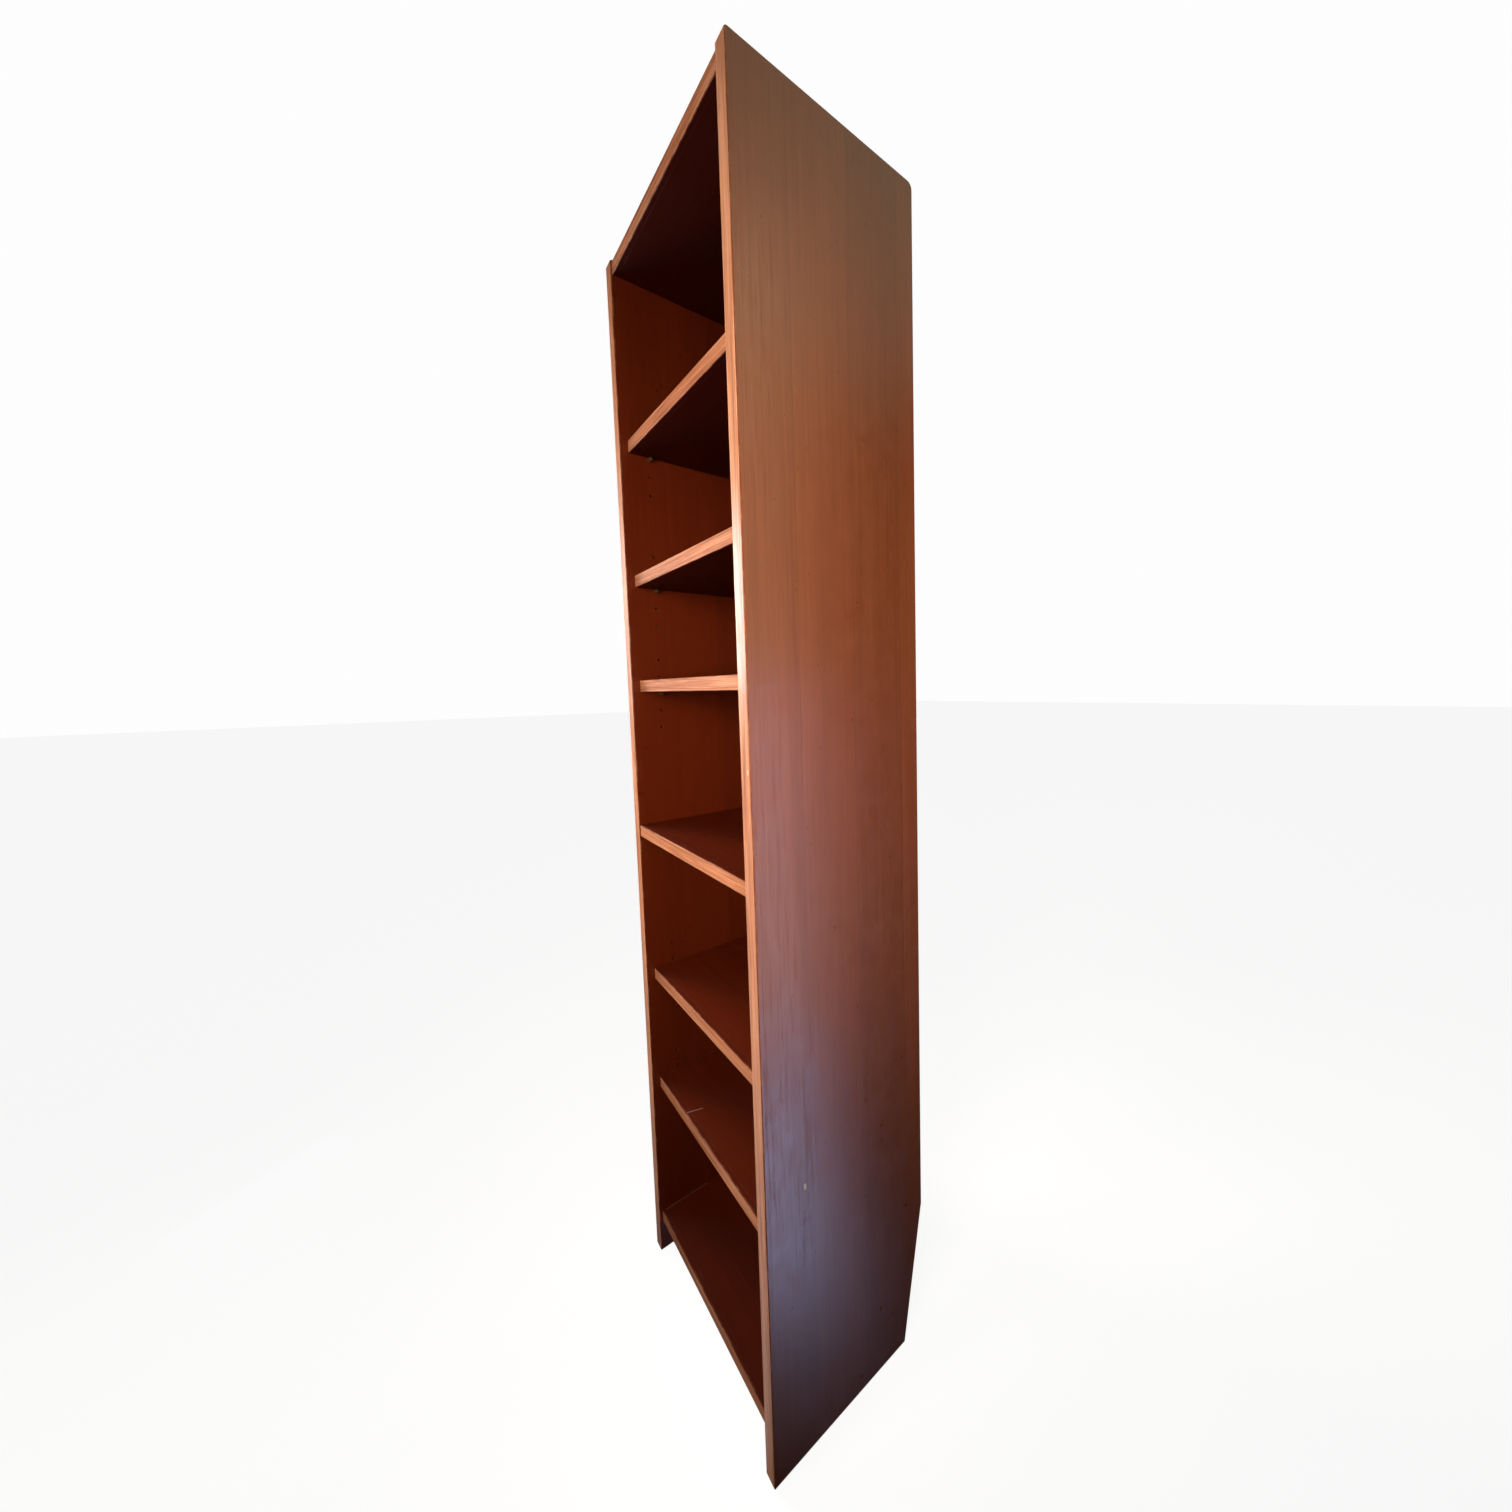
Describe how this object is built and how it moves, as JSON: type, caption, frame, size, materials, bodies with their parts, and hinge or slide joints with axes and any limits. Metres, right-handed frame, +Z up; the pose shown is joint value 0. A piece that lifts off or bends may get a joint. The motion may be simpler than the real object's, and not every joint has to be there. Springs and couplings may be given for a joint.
{
  "type": "bookcase",
  "caption": "Tall narrow teak bookcase with an open front, a fixed middle shelf and adjustable shelves on pins; the sides stand on the floor and are cut back for a skirting board.",
  "frame": {"origin": "middle of the footprint, at floor level", "axes": "+Z up along the height; the open front faces -Y; +X to the right of someone facing the front"},
  "size_m": [0.457, 0.305, 1.88],
  "materials": {
    "teak_veneer_side": "satin oiled teak veneer",
    "teak_veneer_shelf": "satin oiled teak veneer",
    "teak_lipping": "satin solid teak",
    "back_ply": "satin teak-faced plywood",
    "beech_dowel": "plain beech",
    "brass_pin": "turned brass, dulled",
    "steel_nail": "plain wire nail"
  },
  "bodies": {
    "carcass": {"side_left": "teak_veneer_side", "side_left_lipping": "teak_lipping", "side_right": "teak_veneer_side", "side_right_lipping": "teak_lipping", "top_board": "teak_veneer_shelf", "top_board_lipping": "teak_lipping", "middle_shelf": "teak_veneer_shelf", "middle_shelf_lipping": "teak_lipping", "bottom_shelf": "teak_veneer_shelf", "bottom_shelf_lipping": "teak_lipping", "kick_board": "teak_veneer_shelf", "back_panel": "back_ply", "back_nails": "steel_nail", "top_dowels": "beech_dowel", "middle_dowels": "beech_dowel", "bottom_dowels": "beech_dowel", "kick_dowels": "beech_dowel"},
    "shelf_1_board": {"shelf_1": "teak_veneer_shelf", "shelf_1_lipping": "teak_lipping"},
    "shelf_2_board": {"shelf_2": "teak_veneer_shelf", "shelf_2_lipping": "teak_lipping"},
    "shelf_3_board": {"shelf_3": "teak_veneer_shelf", "shelf_3_lipping": "teak_lipping"},
    "shelf_4_board": {"shelf_4": "teak_veneer_shelf", "shelf_4_lipping": "teak_lipping"},
    "shelf_5_board": {"shelf_5": "teak_veneer_shelf", "shelf_5_lipping": "teak_lipping"},
    "shelf_1_left_front_pin": {"shelf_1_pin_left_front": "brass_pin"},
    "shelf_1_left_back_pin": {"shelf_1_pin_left_back": "brass_pin"},
    "shelf_1_right_front_pin": {"shelf_1_pin_right_front": "brass_pin"},
    "shelf_1_right_back_pin": {"shelf_1_pin_right_back": "brass_pin"},
    "shelf_2_left_front_pin": {"shelf_2_pin_left_front": "brass_pin"},
    "shelf_2_left_back_pin": {"shelf_2_pin_left_back": "brass_pin"},
    "shelf_2_right_front_pin": {"shelf_2_pin_right_front": "brass_pin"},
    "shelf_2_right_back_pin": {"shelf_2_pin_right_back": "brass_pin"},
    "shelf_3_left_front_pin": {"shelf_3_pin_left_front": "brass_pin"},
    "shelf_3_left_back_pin": {"shelf_3_pin_left_back": "brass_pin"},
    "shelf_3_right_front_pin": {"shelf_3_pin_right_front": "brass_pin"},
    "shelf_3_right_back_pin": {"shelf_3_pin_right_back": "brass_pin"},
    "shelf_4_left_front_pin": {"shelf_4_pin_left_front": "brass_pin"},
    "shelf_4_left_back_pin": {"shelf_4_pin_left_back": "brass_pin"},
    "shelf_4_right_front_pin": {"shelf_4_pin_right_front": "brass_pin"},
    "shelf_4_right_back_pin": {"shelf_4_pin_right_back": "brass_pin"},
    "shelf_5_left_front_pin": {"shelf_5_pin_left_front": "brass_pin"},
    "shelf_5_left_back_pin": {"shelf_5_pin_left_back": "brass_pin"},
    "shelf_5_right_front_pin": {"shelf_5_pin_right_front": "brass_pin"},
    "shelf_5_right_back_pin": {"shelf_5_pin_right_back": "brass_pin"}
  },
  "joints": [
    {"name": "shelf_1_pull", "type": "slide", "parent": "carcass", "child": "shelf_1_board", "axis": [0, -1, 0], "range_m": [0, 0.28]},
    {"name": "shelf_2_pull", "type": "slide", "parent": "carcass", "child": "shelf_2_board", "axis": [0, -1, 0], "range_m": [0, 0.28]},
    {"name": "shelf_3_pull", "type": "slide", "parent": "carcass", "child": "shelf_3_board", "axis": [0, -1, 0], "range_m": [0, 0.28]},
    {"name": "shelf_4_pull", "type": "slide", "parent": "carcass", "child": "shelf_4_board", "axis": [0, -1, 0], "range_m": [0, 0.28]},
    {"name": "shelf_5_pull", "type": "slide", "parent": "carcass", "child": "shelf_5_board", "axis": [0, -1, 0], "range_m": [0, 0.28]},
    {"name": "shelf_1_left_front_pin_pull", "type": "slide", "parent": "carcass", "child": "shelf_1_left_front_pin", "axis": [1, 0, 0], "range_m": [0, 0.012]},
    {"name": "shelf_1_left_back_pin_pull", "type": "slide", "parent": "carcass", "child": "shelf_1_left_back_pin", "axis": [1, 0, 0], "range_m": [0, 0.012]},
    {"name": "shelf_1_right_front_pin_pull", "type": "slide", "parent": "carcass", "child": "shelf_1_right_front_pin", "axis": [-1, 0, 0], "range_m": [0, 0.012]},
    {"name": "shelf_1_right_back_pin_pull", "type": "slide", "parent": "carcass", "child": "shelf_1_right_back_pin", "axis": [-1, 0, 0], "range_m": [0, 0.012]},
    {"name": "shelf_2_left_front_pin_pull", "type": "slide", "parent": "carcass", "child": "shelf_2_left_front_pin", "axis": [1, 0, 0], "range_m": [0, 0.012]},
    {"name": "shelf_2_left_back_pin_pull", "type": "slide", "parent": "carcass", "child": "shelf_2_left_back_pin", "axis": [1, 0, 0], "range_m": [0, 0.012]},
    {"name": "shelf_2_right_front_pin_pull", "type": "slide", "parent": "carcass", "child": "shelf_2_right_front_pin", "axis": [-1, 0, 0], "range_m": [0, 0.012]},
    {"name": "shelf_2_right_back_pin_pull", "type": "slide", "parent": "carcass", "child": "shelf_2_right_back_pin", "axis": [-1, 0, 0], "range_m": [0, 0.012]},
    {"name": "shelf_3_left_front_pin_pull", "type": "slide", "parent": "carcass", "child": "shelf_3_left_front_pin", "axis": [1, 0, 0], "range_m": [0, 0.012]},
    {"name": "shelf_3_left_back_pin_pull", "type": "slide", "parent": "carcass", "child": "shelf_3_left_back_pin", "axis": [1, 0, 0], "range_m": [0, 0.012]},
    {"name": "shelf_3_right_front_pin_pull", "type": "slide", "parent": "carcass", "child": "shelf_3_right_front_pin", "axis": [-1, 0, 0], "range_m": [0, 0.012]},
    {"name": "shelf_3_right_back_pin_pull", "type": "slide", "parent": "carcass", "child": "shelf_3_right_back_pin", "axis": [-1, 0, 0], "range_m": [0, 0.012]},
    {"name": "shelf_4_left_front_pin_pull", "type": "slide", "parent": "carcass", "child": "shelf_4_left_front_pin", "axis": [1, 0, 0], "range_m": [0, 0.012]},
    {"name": "shelf_4_left_back_pin_pull", "type": "slide", "parent": "carcass", "child": "shelf_4_left_back_pin", "axis": [1, 0, 0], "range_m": [0, 0.012]},
    {"name": "shelf_4_right_front_pin_pull", "type": "slide", "parent": "carcass", "child": "shelf_4_right_front_pin", "axis": [-1, 0, 0], "range_m": [0, 0.012]},
    {"name": "shelf_4_right_back_pin_pull", "type": "slide", "parent": "carcass", "child": "shelf_4_right_back_pin", "axis": [-1, 0, 0], "range_m": [0, 0.012]},
    {"name": "shelf_5_left_front_pin_pull", "type": "slide", "parent": "carcass", "child": "shelf_5_left_front_pin", "axis": [1, 0, 0], "range_m": [0, 0.012]},
    {"name": "shelf_5_left_back_pin_pull", "type": "slide", "parent": "carcass", "child": "shelf_5_left_back_pin", "axis": [1, 0, 0], "range_m": [0, 0.012]},
    {"name": "shelf_5_right_front_pin_pull", "type": "slide", "parent": "carcass", "child": "shelf_5_right_front_pin", "axis": [-1, 0, 0], "range_m": [0, 0.012]},
    {"name": "shelf_5_right_back_pin_pull", "type": "slide", "parent": "carcass", "child": "shelf_5_right_back_pin", "axis": [-1, 0, 0], "range_m": [0, 0.012]}
  ]
}
